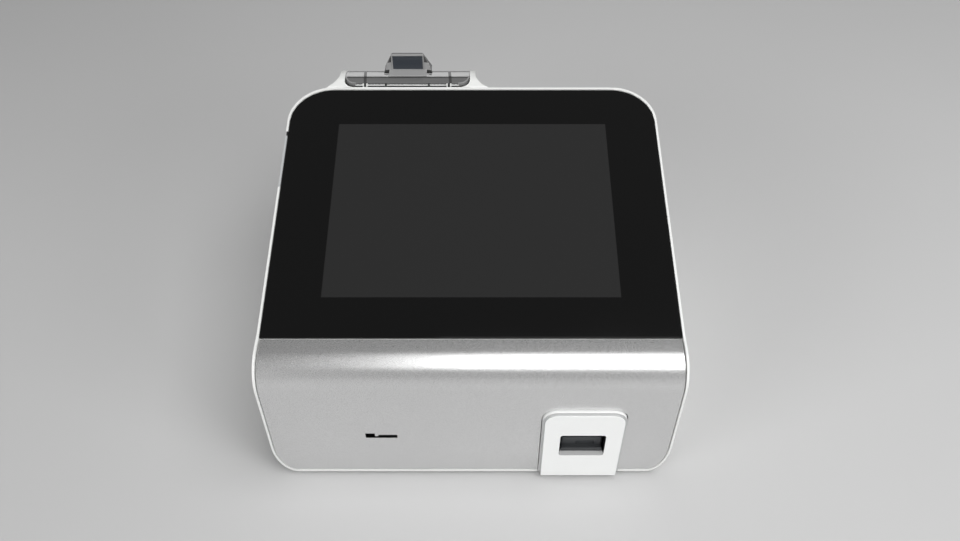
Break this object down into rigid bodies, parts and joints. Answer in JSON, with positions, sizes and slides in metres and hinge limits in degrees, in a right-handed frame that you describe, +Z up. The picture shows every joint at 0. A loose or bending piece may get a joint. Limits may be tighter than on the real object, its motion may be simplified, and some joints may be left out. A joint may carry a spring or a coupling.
{
  "type": "rapid test reader",
  "caption": "Bench reader for rapid test cassettes: a sloping touch screen, a motor-driven cassette drawer in front and a receipt printer behind.",
  "frame": {"origin": "on the floor plane under the middle of the object's bounding box", "axes": "+X to the object's right seen from the front, +Y to the back, +Z up"},
  "size_m": [0.2254, 0.2294, 0.1492],
  "materials": {
    "shell_white": "satin white moulded plastic",
    "bezel_white": "smooth white moulded plastic",
    "fascia_silver": "satin silver paint with fine metal flake",
    "door_grey": "matt grey plastic",
    "cover_glass": "black backed cover glass",
    "display": "dark display panel",
    "zinc_sheet": "zinc plated sheet",
    "steel": "bright steel",
    "black_plastic": "black plastic",
    "dark_plastic": "dark grey plastic",
    "nylon": "natural nylon",
    "brass": "turned brass",
    "board_green": "green circuit board",
    "smoke_plastic": "smoky see-through plastic",
    "rubber": "black rubber",
    "paper_white": "thermal paper",
    "card_brown": "rolled card",
    "lens_glass": "coated lens"
  },
  "bodies": {
    "housing": {"main_housing": "shell_white", "base_tray": "shell_white", "front_fascia": "fascia_silver", "cassette_bezel": "bezel_white", "touch_glass": "cover_glass", "lcd_panel": "display", "lcd_bracket": "zinc_sheet", "side_door_pin": "steel", "side_usb_port": "steel", "id_card_socket": "dark_plastic", "main_board": "board_green", "lan_port": "steel", "usb_ports": "steel", "serial_port": "steel", "dc_jack": "black_plastic", "switch_body": "black_plastic", "transport_deck": "zinc_sheet", "transport_motor": "steel", "guide_rod_left": "steel", "guide_rod_right": "steel", "optics_bridge": "zinc_sheet", "optics_head": "black_plastic", "optics_lens": "lens_glass", "home_sensor": "black_plastic", "lid_hinge_pin": "steel", "printer_frame": "dark_plastic", "print_head": "dark_plastic", "head_spring": "steel", "printer_motor": "steel", "foot_front_left": "rubber", "base_screw_front_left": "steel", "foot_front_right": "rubber", "base_screw_front_right": "steel", "foot_rear_left": "rubber", "base_screw_rear_left": "steel", "foot_rear_right": "rubber", "base_screw_rear_right": "steel", "deck_screw_1": "steel", "deck_screw_2": "steel", "deck_screw_3": "steel", "deck_screw_4": "steel"},
    "carriage": {"cassette_carriage": "dark_plastic"},
    "transport_pinion": {"drive_pinion": "nylon"},
    "lid": {"printer_lid": "smoke_plastic", "tear_bar": "steel"},
    "platen": {"platen_roller": "rubber", "platen_shaft": "steel", "platen_gear": "nylon"},
    "lever": {"lid_release_lever": "smoke_plastic"},
    "paper": {"paper_roll": "paper_white", "paper_core": "card_brown"},
    "idler": {"idler_gear": "nylon"},
    "printer_pinion": {"motor_pinion": "brass"},
    "rocker": {"power_rocker": "dark_plastic"},
    "door": {"side_door": "door_grey"}
  },
  "joints": [
    {"name": "carriage_slide", "type": "slide", "parent": "housing", "child": "carriage", "axis": [0, -1, 0], "range_m": [0, 0.055]},
    {"name": "drive_pinion_spin", "type": "hinge", "parent": "housing", "child": "transport_pinion", "pos_m": [0.0545, -0.0717, 0.01915], "axis": [1, 0, 0], "range_deg": [0, 394]},
    {"name": "lid_hinge", "type": "hinge", "parent": "housing", "child": "lid", "pos_m": [-0.041, 0.1115, 0.0822], "axis": [-1, 0, 0], "range_deg": [0, 85]},
    {"name": "platen_spin", "type": "hinge", "parent": "lid", "child": "platen", "pos_m": [-0.041, 0.0893, 0.127], "axis": [1, 0, 0], "continuous": true},
    {"name": "release_lever_pivot", "type": "hinge", "parent": "lid", "child": "lever", "pos_m": [-0.041, 0.0993, 0.129], "axis": [1, 0, 0], "range_deg": [0, 12], "stiffness_Nm_per_rad": 0.05, "springref_deg": -11.46},
    {"name": "paper_roll_spin", "type": "hinge", "parent": "housing", "child": "paper", "pos_m": [-0.041, 0.0913, 0.097], "axis": [1, 0, 0], "continuous": true},
    {"name": "idler_gear_spin", "type": "hinge", "parent": "housing", "child": "idler", "pos_m": [-0.0747, 0.07772, 0.12126], "axis": [1, 0, 0], "continuous": true},
    {"name": "motor_pinion_spin", "type": "hinge", "parent": "housing", "child": "printer_pinion", "pos_m": [-0.0747, 0.06868, 0.11445], "axis": [1, 0, 0], "continuous": true},
    {"name": "power_rocker_tilt", "type": "hinge", "parent": "housing", "child": "rocker", "pos_m": [0.064, 0.0929, 0.027], "axis": [1, 0, 0], "range_deg": [0, 16]},
    {"name": "side_door_hinge", "type": "hinge", "parent": "housing", "child": "door", "pos_m": [-0.1113, 0.024, 0.108], "axis": [0, -1, 0], "range_deg": [0, 85]}
  ],
  "couplings": [
    {"joint": "drive_pinion_spin", "follows": "carriage_slide", "rad_per_m": 125},
    {"joint": "idler_gear_spin", "follows": "platen_spin", "ratio": -0.77778},
    {"joint": "motor_pinion_spin", "follows": "platen_spin", "ratio": 1.4}
  ]
}
